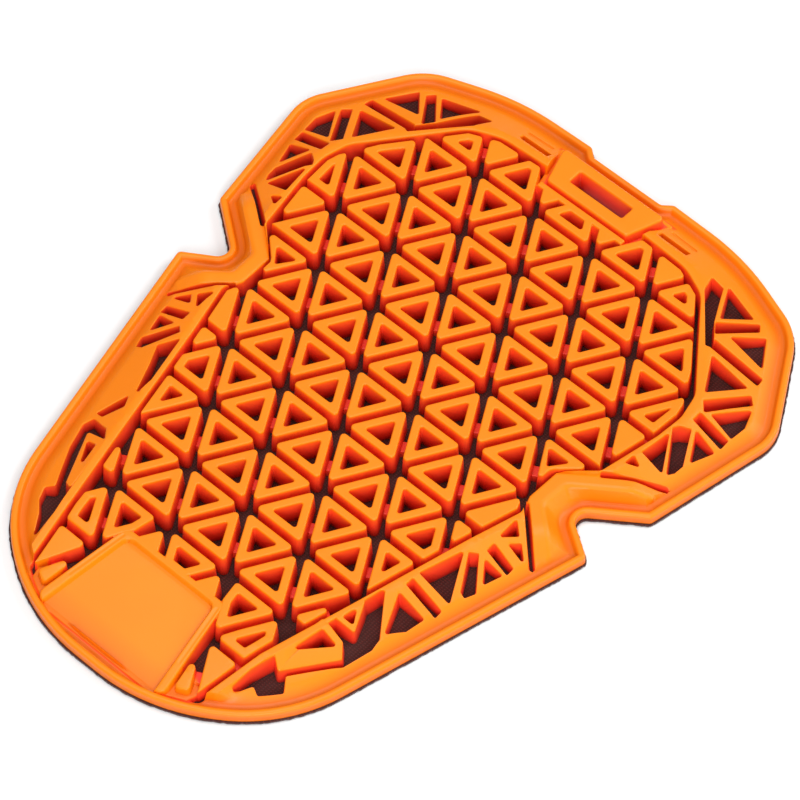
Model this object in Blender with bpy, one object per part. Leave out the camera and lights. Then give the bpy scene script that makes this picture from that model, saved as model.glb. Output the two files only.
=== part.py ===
# Shoulder protector insert: a soft moulded pad of hollow triangular cells
# inside a sloped outer ring and a raised lip, on a thin knitted backing.
# It lies flat. +Y runs to the slotted tab, +Z up, origin under the middle.

import bpy
import bmesh
from math import asin, atan2, ceil, cos, hypot, pi, sin, sqrt, tan

# Overall size, in metres
LENGTH = 0.1988
HALF_WIDTH = 0.0794

# Thicknesses and heights
FABRIC_THICKNESS = 0.0008
FABRIC_GAP = 0.0003
FABRIC_MARGIN = 0.0003
FLANGE_THICKNESS = 0.0009
LIP_RISE = 0.0015
CELL_RISE = 0.0055
BAR_RISE = 0.0014
FOOT_RISE = 0.0004

# Rim section, from the outer edge inwards
LIP_WIDTH = 0.0021
GUTTER_WIDTH = 0.0019
RIB_WIDTH = 0.0020
CHANNEL_WIDTH = 0.0015
SHARPEST_RADIUS = 0.0005

# Lattice of triangular cells
CELL_PITCH = 0.0190
CELL_GAP = 0.0020
CELL_WALL = 0.0022
CELL_CHAMFER = 0.0010
BAR_WIDTH = 0.0022
BAR_BITE = 0.0006
SMALLEST_CELL = 0.0014
SMALLEST_HOLE = 0.0006

# Slotted tab at the front
TAB_HALF_WIDTH = 0.0165
TAB_TAPER = 0.0042
TAB_DEPTH = 0.0119
TAB_EDGE_INSET = 0.0052
TAB_GROOVE_WIDTH = 0.0012
TAB_GROOVE_DEPTH = 0.0030
SLOT_LENGTH = 0.0175
SLOT_WIDTH = 0.0040
SLOT_INSET = 0.0033

# Recessed panel at the heel
PANEL_HALF_WIDTH = 0.0165
PANEL_FLARE = 0.0035
PANEL_LENGTH = 0.0262
PANEL_DROP = 0.0005
PANEL_FRAME = 0.0020
PANEL_RECESS = 0.0014

# Ridges round the side notches
RIDGE_DROP = 0.0008
RIDGE_TOP_WIDTH = 0.0034
RIDGE_SLOPE_WIDTH = 0.0015
RIDGE_END_RISE = 0.0028

# Where the lattice's middle row of forward-pointing cells lies, as a share of
# the length from the middle
ROW_ALONG = 0.1388

# Corners of the outline on the right half, and of the rib that the outer ring
# slopes up to. Across is a share of the half width, along is a share of the
# length from the middle, and a radius is a share of the half width.
CORNER_COLUMNS = ("across", "along", "radius", "steps", "rib_across", "rib_along", "rib_radius")
CORNERS = (
    (0.142, 0.4890, 0.019, 1, 0.155, 0.3970, 0.019),
    (0.176, 0.5000, 0.019, 1, 0.225, 0.4250, 0.020),
    (0.479, 0.4970, 1.385, 3, 0.353, 0.4250, 0.400),
    (0.792, 0.4507, 0.227, 3, 0.490, 0.4130, 0.126),
    (1.012, 0.3058, 0.164, 3, 0.777, 0.2640, 0.126),
    (0.918, 0.1117, 0.019, 1, 0.712, 0.1080, 0.019),
    (0.720, 0.0533, 0.038, 3, 0.620, 0.0700, 0.025),
    (0.868, 0.0151, 0.019, 1, 0.648, -0.0020, 0.019),
    (0.600, -0.4054, 0.567, 4, 0.418, -0.3400, 0.250),
    (0.246, -0.5000, 0.667, 3, 0.335, -0.4700, 0.050),
)
NOTCH_TIPS = (5, 7)

# Openings of the sloped outer ring on the right half, each with three or four
# corners in the same shares
OPENING_COLUMNS = ("x1", "y1", "x2", "y2", "x3", "y3", "x4", "y4")
OPENINGS = (
    (0.535, 0.440, 0.595, 0.395, 0.640, 0.425),
    (0.730, 0.410, 0.700, 0.375, 0.790, 0.375),
    (0.680, 0.337, 0.750, 0.292, 0.810, 0.335),
    (0.880, 0.313, 0.812, 0.271, 0.905, 0.277),
    (0.825, 0.236, 0.870, 0.206, 0.887, 0.233),
    (0.770, 0.208, 0.762, 0.167, 0.826, 0.167),
    (0.690, -0.026, 0.668, -0.043, 0.730, -0.040),
    (0.666, -0.074, 0.706, -0.092, 0.718, -0.070),
    (0.600, -0.096, 0.553, -0.144, 0.672, -0.144),
    (0.558, -0.184, 0.600, -0.230, 0.635, -0.211, 0.648, -0.183),
    (0.490, -0.290, 0.500, -0.335, 0.545, -0.290),
    (0.445, -0.365, 0.400, -0.420, 0.470, -0.393, 0.510, -0.370),
)

# Narrow slits of the outer ring on the right half, each between two points
SLIT_COLUMNS = ("x1", "y1", "x2", "y2")
SLITS = (
    (0.690, 0.425, 0.612, 0.372),
    (0.662, 0.350, 0.829, 0.354),
    (0.857, 0.326, 0.767, 0.275),
    (0.805, 0.250, 0.894, 0.248),
    (0.783, 0.236, 0.857, 0.185),
    (0.648, -0.049, 0.725, -0.062),
    (0.623, -0.082, 0.687, -0.117),
    (0.562, -0.159, 0.661, -0.167),
    (0.515, -0.215, 0.600, -0.270),
)
SLIT_WIDTH = 0.0016

# Levels that follow from the sizes
UNDERSIDE = FABRIC_THICKNESS + FABRIC_GAP
GUTTER_TOP = UNDERSIDE + FLANGE_THICKNESS
LIP_TOP = GUTTER_TOP + LIP_RISE
CELL_TOP = GUTTER_TOP + CELL_RISE
BAR_TOP = GUTTER_TOP + BAR_RISE
ROOT = UNDERSIDE + FLANGE_THICKNESS / 2
BELOW = UNDERSIDE - FABRIC_THICKNESS
ABOVE = CELL_TOP + CELL_RISE
FOOT_INSET = LIP_WIDTH + GUTTER_WIDTH
ROW_HEIGHT = CELL_PITCH * sqrt(3) / 2
CELL_IN_RADIUS = CELL_PITCH * sqrt(3) / 6

# Two points closer than this are one
SAME_POINT = 1e-6


def material(name, colour, roughness, metallic=0.0):
    made = bpy.data.materials.new(name)
    made.use_nodes = True
    shader = made.node_tree.nodes["Principled BSDF"]
    shader.inputs["Base Color"].default_value = (*colour, 1.0)
    shader.inputs["Roughness"].default_value = roughness
    shader.inputs["Metallic"].default_value = metallic
    return made


def place(across, along):
    """A point of the plan from its shares of the half width and the length."""
    return (across * HALF_WIDTH, along * LENGTH)


def both_sides(corners):
    """Corners of a closed outline, anticlockwise, from those of its right half."""
    left = [(-x, y, radius, steps) for x, y, radius, steps in corners]
    return corners[::-1] + left


def inset_corners(corners, inset):
    """Corners of the same outline moved inwards by an inset."""
    moved = []
    count = len(corners)
    for i, (x, y, radius, steps) in enumerate(corners):
        before = corners[i - 1]
        after = corners[(i + 1) % count]
        ax, ay = x - before[0], y - before[1]
        bx, by = after[0] - x, after[1] - y
        a_len, b_len = hypot(ax, ay), hypot(bx, by)
        ax, ay, bx, by = ax / a_len, ay / a_len, bx / b_len, by / b_len
        turn = ax * by - ay * bx
        bend = 1 + ax * bx + ay * by
        dx = (-(ay + by)) * inset / bend
        dy = (ax + bx) * inset / bend
        new_radius = radius - inset if turn > 0 else radius + inset
        moved.append((x + dx, y + dy, max(new_radius, SHARPEST_RADIUS), steps))
    return moved


def round_corners(corners):
    """Points of a closed outline whose corners are arcs."""
    points = []
    count = len(corners)
    for i, (x, y, radius, steps) in enumerate(corners):
        before = corners[i - 1]
        after = corners[(i + 1) % count]
        ax, ay = before[0] - x, before[1] - y
        bx, by = after[0] - x, after[1] - y
        a_len, b_len = hypot(ax, ay), hypot(bx, by)
        ax, ay, bx, by = ax / a_len, ay / a_len, bx / b_len, by / b_len
        half = asin(min(1.0, hypot(ax + bx, ay + by) / 2))
        half = pi / 2 - half
        reach = min(radius / tan(half), 0.48 * a_len, 0.48 * b_len)
        radius = reach * tan(half)
        sx, sy = x + ax * reach, y + ay * reach
        middle = hypot(ax + bx, ay + by)
        to_centre = radius / sin(half)
        cx = x + (ax + bx) / middle * to_centre
        cy = y + (ay + by) / middle * to_centre
        start = atan2(sy - cy, sx - cx)
        end = atan2(y + by * reach - cy, x + bx * reach - cx)
        sweep = (end - start + pi) % (2 * pi) - pi
        for k in range(steps + 1):
            angle = start + sweep * k / steps
            points.append((cx + radius * cos(angle), cy + radius * sin(angle)))
    return points


def link(obj, collection):
    collection.objects.link(obj)
    return obj


def prism(name, loops, low, high, collection):
    """Flat outlines, inner ones as holes, extruded between two levels."""
    curve = bpy.data.curves.new(name, "CURVE")
    curve.dimensions = "2D"
    curve.fill_mode = "BOTH"
    curve.extrude = (high - low) / 2
    for loop in loops:
        spline = curve.splines.new("POLY")
        spline.points.add(len(loop) - 1)
        for point, (x, y) in zip(spline.points, loop):
            point.co = (x, y, 0.0, 1.0)
        spline.use_cyclic_u = True
    drawn = link(bpy.data.objects.new(name + "_outline", curve), collection)
    drawn.location.z = (low + high) / 2
    bpy.context.view_layer.update()
    return solid_from_curve(name, drawn, collection)


def solid_from_curve(name, drawn, collection):
    """A closed mesh object in place of a curve object."""
    graph = bpy.context.evaluated_depsgraph_get()
    mesh = bpy.data.meshes.new_from_object(drawn.evaluated_get(graph))
    solid = link(bpy.data.objects.new(name, mesh), collection)
    solid.matrix_world = drawn.matrix_world.copy()
    weld(mesh)
    bpy.data.objects.remove(drawn)
    return solid


def weld(mesh):
    work = bmesh.new()
    work.from_mesh(mesh)
    bmesh.ops.remove_doubles(work, verts=work.verts, dist=SAME_POINT)
    bmesh.ops.recalc_face_normals(work, faces=work.faces)
    work.to_mesh(mesh)
    work.free()


def lofted(name, sections, collection):
    """A closed body through sections of equal point counts, capped at both ends."""
    work = bmesh.new()
    rings = [[work.verts.new(point) for point in section] for section in sections]
    for lower, upper in zip(rings, rings[1:]):
        count = len(lower)
        for i in range(count):
            j = (i + 1) % count
            work.faces.new((lower[i], lower[j], upper[j], upper[i]))
    work.faces.new(rings[0][::-1])
    work.faces.new(rings[-1])
    bmesh.ops.recalc_face_normals(work, faces=work.faces)
    mesh = bpy.data.meshes.new(name)
    work.to_mesh(mesh)
    work.free()
    return link(bpy.data.objects.new(name, mesh), collection)


def level(loop, height):
    return [(x, y, height) for x, y in loop]


def combine(target, tool, operation):
    """Joins a tool body to the target, or cuts it away."""
    tool.hide_render = True
    tool.display_type = "WIRE"
    step = target.modifiers.new(tool.name, "BOOLEAN")
    step.operation = operation
    step.solver = "EXACT"
    step.object = tool


def edges(outline):
    """The edges of a closed outline as pairs of points."""
    return list(zip(outline, outline[1:] + outline[:1]))


def clip(polygon, px, py, nx, ny):
    """The side of a polygon that lies along a line's normal."""
    kept = []
    for (ax, ay), (bx, by) in edges(polygon):
        a = (ax - px) * nx + (ay - py) * ny
        b = (bx - px) * nx + (by - py) * ny
        if a >= 0:
            kept.append((ax, ay))
        if (a < 0 < b) or (b < 0 < a):
            share = a / (a - b)
            kept.append((ax + (bx - ax) * share, ay + (by - ay) * share))
    return kept


def shrink(polygon, inset):
    """A convex polygon with each edge moved inwards."""
    kept = polygon
    for (ax, ay), (bx, by) in edges(polygon):
        run = hypot(bx - ax, by - ay)
        if run < SAME_POINT:
            continue
        nx, ny = -(by - ay) / run, (bx - ax) / run
        kept = clip(kept, ax + nx * inset, ay + ny * inset, nx, ny)
        if len(kept) < 3:
            return []
    return kept


def holds(polygon, x, y):
    """Whether an anticlockwise convex polygon holds a point."""
    return all((bx - ax) * (y - ay) - (by - ay) * (x - ax) > 0 for (ax, ay), (bx, by) in edges(polygon))


def chamfered(polygon, size):
    """A polygon with its corners cut off."""
    cut = []
    count = len(polygon)
    for i, (x, y) in enumerate(polygon):
        for ox, oy in (polygon[i - 1], polygon[(i + 1) % count]):
            run = hypot(ox - x, oy - y)
            share = min(size, 0.3 * run) / run
            cut.append((x + (ox - x) * share, y + (oy - y) * share))
    return cut


def edge_distance(start, end, x, y):
    """How far a point lies from a straight edge."""
    run = hypot(end[0] - start[0], end[1] - start[1])
    ux, uy = (end[0] - start[0]) / run, (end[1] - start[1]) / run
    along = min(max((x - start[0]) * ux + (y - start[1]) * uy, 0.0), run)
    return hypot(x - start[0] - ux * along, y - start[1] - uy * along)


def inside(bounds, x, y):
    """Whether a closed outline holds a point."""
    crossings = 0
    for (ax, ay), (bx, by) in edges(bounds):
        if (ay > y) != (by > y) and x < ax + (bx - ax) * (y - ay) / (by - ay):
            crossings += 1
    return crossings % 2 == 1


def clipped_to(polygon, x, y, reach, bounds):
    """A cell's outline cut back to the edges of the field that pass near it."""
    for start, end in edges(bounds):
        if edge_distance(start, end, x, y) < reach:
            normal = (start[1] - end[1], end[0] - start[0])
            polygon = clip(polygon, *start, *normal)
    return polygon


def cut_back(outline, shape, x, y):
    """A cell's outline kept outside the edge of a shape that it most clears."""
    best = None
    for (ax, ay), (bx, by) in edges(shape):
        run = hypot(bx - ax, by - ay)
        nx, ny = (by - ay) / run, (ax - bx) / run
        clear = (x - ax) * nx + (y - ay) * ny
        if best is None or clear > best[0]:
            best = (clear, ax, ay, nx, ny)
    return clip(outline, *best[1:])


def lattice_place(half_column, row, points_forward):
    """Where a cell of the lattice has its middle."""
    x = half_column * CELL_PITCH / 2
    y = ROW_ALONG * LENGTH + row * ROW_HEIGHT
    return (x, y if points_forward else y + CELL_IN_RADIUS)


def lattice_cells(bounds, keep_out):
    """Outlines of the cells that fit the field, by their places in the lattice."""
    out_radius = 2 * (CELL_IN_RADIUS - CELL_GAP / 2)
    rows = ceil(LENGTH / ROW_HEIGHT)
    half_columns = ceil(2 * HALF_WIDTH / CELL_PITCH)
    cells = {}
    for row in range(-rows, rows + 1):
        for half_column in range(-half_columns, half_columns + 1):
            points_forward = (half_column + row) % 2 == 1
            x, y = lattice_place(half_column, row, points_forward)
            first = pi / 2 if points_forward else -pi / 2
            outline = [
                (x + out_radius * cos(first + k * 2 * pi / 3),
                 y + out_radius * sin(first + k * 2 * pi / 3)) for k in range(3)
            ]
            outline = clipped_to(outline, x, y, out_radius, bounds)
            outline = cut_back(outline, keep_out, x, y)
            if len(shrink(outline, SMALLEST_CELL)) < 3:
                continue
            middle_x = sum(point[0] for point in outline) / len(outline)
            middle_y = sum(point[1] for point in outline) / len(outline)
            if inside(bounds, middle_x, middle_y):
                cells[(half_column, row)] = outline
    return cells


def bars_between(cells):
    """Low bars that join neighbouring cells across the gap between them."""
    reach = CELL_GAP / 2 + BAR_BITE
    half_width = BAR_WIDTH / 2
    bars = []
    for (half_column, row), outline in cells.items():
        if (half_column + row) % 2 == 0:
            continue
        x, y = lattice_place(half_column, row, True)
        for step, rise, angle in ((1, 0, pi / 6), (-1, 0, 5 * pi / 6), (0, -1, -pi / 2)):
            other = cells.get((half_column + step, row + rise))
            if other is None:
                continue
            ux, uy = cos(angle), sin(angle)
            middle_x, middle_y = x + CELL_IN_RADIUS * ux, y + CELL_IN_RADIUS * uy
            ends = [
                (middle_x + ux * out - uy * side, middle_y + uy * out + ux * side)
                for out, side in ((-reach, -half_width), (reach, -half_width),
                                  (reach, half_width), (-reach, half_width))
            ]
            held = [holds(outline, *ends[0]), holds(outline, *ends[3]),
                    holds(other, *ends[1]), holds(other, *ends[2])]
            if all(held):
                bars.append(ends)
    return bars


def slit(start, end):
    """A narrow straight slit between two points."""
    run = hypot(end[0] - start[0], end[1] - start[1])
    nx = (start[1] - end[1]) / run * SLIT_WIDTH / 2
    ny = (end[0] - start[0]) / run * SLIT_WIDTH / 2
    return [
        (start[0] + nx, start[1] + ny), (start[0] - nx, start[1] - ny),
        (end[0] - nx, end[1] - ny), (end[0] + nx, end[1] + ny),
    ]


# Main outlines
right = [dict(zip(CORNER_COLUMNS, row)) for row in CORNERS]
edge = both_sides([
    (*place(c["across"], c["along"]), c["radius"] * HALF_WIDTH, c["steps"]) for c in right
])
rib = both_sides([
    (*place(c["rib_across"], c["rib_along"]), c["rib_radius"] * HALF_WIDTH, c["steps"]) for c in right
])
foot_loop = round_corners(inset_corners(edge, FOOT_INSET))
rib_loop = round_corners(rib)
field = [(x, y) for x, y, radius, steps in inset_corners(rib, RIB_WIDTH + CHANNEL_WIDTH)]
tab_edge = place(0.0, CORNERS[0][1])[1]
heel = min(y for x, y, radius, steps in edge)

# Start from an empty scene
for old in list(bpy.data.objects):
    bpy.data.objects.remove(old)
parts = bpy.data.collections.new("shoulder_protector_insert")
cutters = bpy.data.collections.new("cutters")
bpy.context.scene.collection.children.link(parts)
bpy.context.scene.collection.children.link(cutters)

# Moulded pad: a shallow tray with a raised lip
pad = prism("moulded_pad", [round_corners(edge)], UNDERSIDE, LIP_TOP, parts)
pad.data.materials.append(material("orange_moulding", (0.95, 0.24, 0.008), 0.35))
tray_loop = round_corners(inset_corners(edge, LIP_WIDTH))
combine(pad, prism("tray_floor", [tray_loop], GUTTER_TOP, ABOVE, cutters), "DIFFERENCE")

# Outer ring: it slopes up from the gutter to the rib, with a well inside it
slope = lofted("ring_slope", (
    level(foot_loop, ROOT),
    level(foot_loop, GUTTER_TOP + FOOT_RISE),
    level(rib_loop, CELL_TOP),
), cutters)
well_loop = round_corners(inset_corners(rib, RIB_WIDTH))
combine(slope, prism("well", [well_loop], BELOW, ABOVE, cutters), "DIFFERENCE")
combine(pad, slope, "UNION")

# Ridges round the side notches, each a loft along the stretch between its tips
stretch_start = sum(c["steps"] + 1 for c in right[NOTCH_TIPS[1] + 1:])
stretch_end = stretch_start + sum(c["steps"] + 1 for c in right[NOTCH_TIPS[0]:NOTCH_TIPS[1] + 1])
ridge_lines = []
for inset in (FOOT_INSET + RIDGE_SLOPE_WIDTH + RIDGE_TOP_WIDTH, FOOT_INSET + RIDGE_SLOPE_WIDTH,
              FOOT_INSET + RIDGE_SLOPE_WIDTH / 4):
    line = round_corners(inset_corners(edge, inset))[stretch_start:stretch_end]
    ridge_lines.append([line[0], *line[2:-2], line[-1]])
for side, name in ((1, "notch_ridge_right"), (-1, "notch_ridge_left")):
    sections = []
    last = len(ridge_lines[0]) - 1
    for i, (inner, crest, outer) in enumerate(zip(*ridge_lines)):
        rise = RIDGE_END_RISE if i in (0, last) else CELL_RISE - RIDGE_DROP
        sections.append([(side * x, y, z) for (x, y), z in (
            (inner, ROOT), (inner, GUTTER_TOP + rise), (crest, GUTTER_TOP + rise),
            (outer, GUTTER_TOP), (outer, ROOT))])
    combine(pad, lofted(name, sections, cutters), "UNION")

# Panel at the heel: a raised frame with a recess that runs out to the gutter
panel_back = heel + FOOT_INSET
panel_front = panel_back + PANEL_LENGTH
panel_top = CELL_TOP - PANEL_DROP
panel = [
    (PANEL_HALF_WIDTH + PANEL_FLARE, panel_back), (PANEL_HALF_WIDTH, panel_front),
    (-PANEL_HALF_WIDTH, panel_front), (-PANEL_HALF_WIDTH - PANEL_FLARE, panel_back),
]
recess = [
    (PANEL_HALF_WIDTH + PANEL_FLARE - PANEL_FRAME, panel_back + PANEL_FRAME),
    (PANEL_HALF_WIDTH - PANEL_FRAME, panel_front - PANEL_FRAME),
    (PANEL_FRAME - PANEL_HALF_WIDTH, panel_front - PANEL_FRAME),
    (PANEL_FRAME - PANEL_HALF_WIDTH - PANEL_FLARE, panel_back + PANEL_FRAME),
]
combine(pad, prism("panel_block", [panel], ROOT, panel_top, cutters), "UNION")
combine(pad, prism("panel_recess", [recess], panel_top - PANEL_RECESS, ABOVE, cutters), "DIFFERENCE")

# Tab at the front: a plate set in a groove, with a slot through it
tab_front = tab_edge - TAB_EDGE_INSET
tab_back = tab_front - TAB_DEPTH
tab_back_half = TAB_HALF_WIDTH - TAB_TAPER
tab = [
    (tab_back_half, tab_back), (TAB_HALF_WIDTH, tab_front),
    (-TAB_HALF_WIDTH, tab_front), (-tab_back_half, tab_back),
]
groove_back = tab_back_half + TAB_GROOVE_WIDTH
groove_front = TAB_HALF_WIDTH + TAB_GROOVE_WIDTH + TAB_TAPER * TAB_EDGE_INSET / TAB_DEPTH
groove = [
    (groove_back, tab_back - TAB_GROOVE_WIDTH), (groove_front, tab_edge),
    (-groove_front, tab_edge), (-groove_back, tab_back - TAB_GROOVE_WIDTH),
]
combine(pad, prism("tab_groove", [groove], CELL_TOP - TAB_GROOVE_DEPTH, ABOVE, cutters), "DIFFERENCE")
combine(pad, prism("tab_plate", [tab], ROOT, CELL_TOP, cutters), "UNION")

# Field of hollow triangular cells, joined by low bars
around_panel = [(x, y) for x, y, radius, steps in
                inset_corners([(x, y, 0.0, 1) for x, y in panel], -CHANNEL_WIDTH)]
cells = lattice_cells(field, around_panel)
outer = [chamfered(outline, CELL_CHAMFER) for outline in cells.values()]
inner = [shrink(outline, CELL_WALL) for outline in cells.values()]
inner = [hole for hole in inner if len(hole) > 2 and len(shrink(hole, SMALLEST_HOLE)) > 2]
combine(pad, prism("cells", outer, ROOT, CELL_TOP, cutters), "UNION")
combine(pad, prism("bars", bars_between(cells), ROOT, BAR_TOP, cutters), "UNION")

# Everything that goes right through: the cells' hollows, the ring's openings
# and slits, and the slot
ring_holes = []
for values in OPENINGS:
    row = dict(zip(OPENING_COLUMNS, values))
    ring_holes.append([place(row["x" + k], row["y" + k]) for k in "1234" if "x" + k in row])
for values in SLITS:
    row = dict(zip(SLIT_COLUMNS, values))
    ring_holes.append(slit(place(row["x1"], row["y1"]), place(row["x2"], row["y2"])))
ring_holes += [[(-x, y) for x, y in loop] for loop in ring_holes]
slot_middle = tab_front - SLOT_INSET - SLOT_WIDTH / 2
slot = [(x * SLOT_LENGTH / 2, slot_middle + y * SLOT_WIDTH / 2)
        for x, y in ((1, -1), (1, 1), (-1, 1), (-1, -1))]
through = inner + ring_holes + [slot]
combine(pad, prism("through_holes", through, BELOW, ABOVE, cutters), "DIFFERENCE")

# Knitted backing, with the same slot
backing_loop = round_corners(inset_corners(edge, FABRIC_MARGIN))
backing = prism("backing_fabric", [backing_loop, slot], 0.0, FABRIC_THICKNESS, parts)
backing.data.materials.append(material("dark_knit", (0.03, 0.012, 0.01), 0.9))
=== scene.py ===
from math import asin, atan2, cos, hypot, pi, radians, sin, sqrt, tan
import bmesh
import bpy
import numpy as np
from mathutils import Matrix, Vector
from mathutils.geometry import delaunay_2d_cdt


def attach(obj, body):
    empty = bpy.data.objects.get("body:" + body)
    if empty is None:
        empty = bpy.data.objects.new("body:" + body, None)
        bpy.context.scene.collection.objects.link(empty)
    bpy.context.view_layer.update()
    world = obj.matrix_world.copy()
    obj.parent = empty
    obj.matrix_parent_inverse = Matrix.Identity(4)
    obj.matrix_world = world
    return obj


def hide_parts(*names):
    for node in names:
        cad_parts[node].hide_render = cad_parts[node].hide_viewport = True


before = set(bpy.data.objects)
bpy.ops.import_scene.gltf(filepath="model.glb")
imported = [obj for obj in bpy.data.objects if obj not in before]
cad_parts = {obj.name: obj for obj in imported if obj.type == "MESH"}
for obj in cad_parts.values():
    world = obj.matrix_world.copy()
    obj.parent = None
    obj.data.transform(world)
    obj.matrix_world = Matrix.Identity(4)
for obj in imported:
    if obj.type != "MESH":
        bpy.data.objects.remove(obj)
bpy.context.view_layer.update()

# Outer edge, lip and gutter of the pad.
# The pad starts as a thin tray: a rounded lip runs all the way round it, with
# a shallow gutter inside. Both were cut into the steel mould as one groove.
# Sizes are in millimetres from the middle row of cells, 27.6 in front of the
# middle of the pad. A corner is its place, its radius and the arc's steps.
MM = 0.001
ROW_FROM_MIDDLE = 27.6
UNDERSIDE = 0.85
GUTTER_TOP = 2.0
LIP_TOP = 3.5
CELL_TOP = 7.5
FOOT_TOP = 2.35
FOOT_INSET = 4.0
EDGE_DRAFT = 0.08
LIP_ARC = 0.75
RIGHT_EDGE = [
    (11.3, 69.6, 1.6, 4),
    (14.0, 71.8, 1.5, 4),
    (38.0, 71.2, 110.0, 10),
    (62.9, 62.0, 18.0, 8),
    (80.35, 33.2, 13.0, 8),
    (72.9, -5.4, 1.5, 5),
    (57.2, -17.0, 3.0, 8),
    (68.9, -24.6, 1.5, 5),
    (47.65, -108.2, 45.0, 12),
    (19.5, -127.0, 53.0, 12),
]
# Height across the lip and gutter, by distance from the outer edge
RIM_SECTION = [
    (-EDGE_DRAFT, UNDERSIDE),
    (0.0, LIP_TOP - 0.7),
    (0.06, LIP_TOP - 0.46),
    (0.2, LIP_TOP - 0.22),
    (0.42, LIP_TOP - 0.06),
    (0.75, LIP_TOP),
    (1.2, LIP_TOP - 0.02),
    (1.5, LIP_TOP - 0.14),
    (1.72, LIP_TOP - 0.38),
    (1.88, LIP_TOP - 0.72),
    (2.04, LIP_TOP - 1.1),
    (2.24, LIP_TOP - 1.36),
    (2.5, GUTTER_TOP + 0.02),
    (3.0, GUTTER_TOP),
    (3.5, GUTTER_TOP + 0.06),
    (3.8, GUTTER_TOP + 0.2),
    (FOOT_INSET, FOOT_TOP),
]


def both_sides(corners):
    """Corners of a closed outline, anticlockwise, from those of its right half."""
    left = [(-x, y, radius, steps) for x, y, radius, steps in corners]
    return corners[::-1] + left


def moved_in(corners, inset):
    """Corners of the same outline moved inwards."""
    moved = []
    count = len(corners)
    for i, (x, y, radius, steps) in enumerate(corners):
        before = corners[i - 1]
        after = corners[(i + 1) % count]
        ax, ay = x - before[0], y - before[1]
        bx, by = after[0] - x, after[1] - y
        a_run, b_run = hypot(ax, ay), hypot(bx, by)
        ax, ay, bx, by = ax / a_run, ay / a_run, bx / b_run, by / b_run
        bend = max(1 + ax * bx + ay * by, 0.2)
        turn = ax * by - ay * bx
        new_radius = radius - inset if turn > 0 else radius + inset
        moved.append((x - (ay + by) * inset / bend, y + (ax + bx) * inset / bend,
                      max(new_radius, 0.12), steps))
    return moved


def rounded(corners):
    """Points of a closed outline whose corners are arcs."""
    points = []
    count = len(corners)
    for i, (x, y, radius, steps) in enumerate(corners):
        before = corners[i - 1]
        after = corners[(i + 1) % count]
        ax, ay = before[0] - x, before[1] - y
        bx, by = after[0] - x, after[1] - y
        a_run, b_run = hypot(ax, ay), hypot(bx, by)
        ax, ay, bx, by = ax / a_run, ay / a_run, bx / b_run, by / b_run
        half = pi / 2 - asin(min(1.0, hypot(ax + bx, ay + by) / 2))
        reach = min(radius / tan(half), 0.48 * a_run, 0.48 * b_run)
        radius = reach * tan(half)
        middle = max(hypot(ax + bx, ay + by), 1e-9)
        cx = x + (ax + bx) / middle * radius / sin(half)
        cy = y + (ay + by) / middle * radius / sin(half)
        start = atan2(y + ay * reach - cy, x + ax * reach - cx)
        end = atan2(y + by * reach - cy, x + bx * reach - cx)
        sweep = (end - start + pi) % (2 * pi) - pi
        for k in range(steps + 1):
            angle = start + sweep * k / steps
            points.append((cx + radius * cos(angle), cy + radius * sin(angle)))
    return np.array(points)


def divided(loop, step):
    """A closed outline with points added along its long edges."""
    pieces = []
    for a, b in zip(loop, np.roll(loop, -1, axis=0)):
        count = max(1, int(np.hypot(*(b - a)) / step))
        pieces.append(a + (b - a) * (np.arange(count) / count)[:, None])
    return np.concatenate(pieces)


def depth_inside(points, loop):
    """How far each point lies inside a closed outline, or outside as a minus."""
    depth = np.empty(len(points))
    start = loop
    run = np.roll(loop, -1, axis=0) - loop
    length = np.maximum((run * run).sum(1), 1e-12)
    for first in range(0, len(points), 4000):
        part = points[first:first + 4000]
        reach = part[:, None, :] - start[None]
        share = np.clip((reach * run).sum(2) / length, 0, 1)
        gap = np.hypot(*np.moveaxis(reach - share[..., None] * run, 2, 0)).min(1)
        level = (start[:, 1] > part[:, 1:]) != (start[:, 1] + run[:, 1] > part[:, 1:])
        rise = np.where(np.abs(run[:, 1]) < 1e-12, 1e-12, run[:, 1])
        crossing = start[:, 0] + run[:, 0] * (part[:, 1:] - start[:, 1]) / rise
        odd = (level & (part[:, :1] < crossing)).sum(1) % 2 == 1
        depth[first:first + 4000] = np.where(odd, gap, -gap)
    return depth


edge = both_sides(RIGHT_EDGE)
edge_loop = rounded(edge)
contours = [divided(rounded(moved_in(edge, inset)), 2.0) for inset, height in RIM_SECTION]

# Well of the pad, and the outer ring that slopes up to it.
# The ring rises from the gutter to a thin rib, level with the cells. Inside
# the rib the mould leaves the field open, with a narrow channel round it.
CHANNEL_WIDTH = 1.3
RIB_WIDTH = 1.9
WALL_RUN = 0.35
TOP_ARC = 0.42
ARC_STEPS = (1.0, 0.55, 0.22, 0.0)
RIGHT_FIELD = [
    (16.0, 55.4, 1.2, 4),
    (30.6, 54.6, 12.0, 5),
    (38.4, 51.2, 8.0, 5),
    (57.3, 27.0, 6.0, 6),
    (59.0, 20.0, 8.0, 5),
    (58.4, 12.0, 8.0, 4),
    (55.2, -4.6, 0.8, 4),
    (47.1, -12.0, 1.6, 5),
    (46.9, -22.5, 1.6, 5),
    (48.9, -27.5, 1.2, 4),
    (44.9, -42.0, 12.0, 4),
    (37.1, -74.0, 30.0, 4),
    (30.8, -99.0, 30.0, 4),
    (27.4, -116.4, 1.0, 4),
    (18.0, -121.3, 8.0, 4),
]
# The ring and the field slope down again towards the heel
HEEL_START = -100.0
HEEL_FALL = 0.17


def heel_top(points):
    """Height of the flat tops, which fall away at the heel."""
    return CELL_TOP - HEEL_FALL * np.maximum(HEEL_START - points[:, 1], 0.0)


field = both_sides(RIGHT_FIELD)
well = moved_in(field, -CHANNEL_WIDTH)
rib_loop = rounded(moved_in(field, -CHANNEL_WIDTH - RIB_WIDTH))
cuts = []


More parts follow.
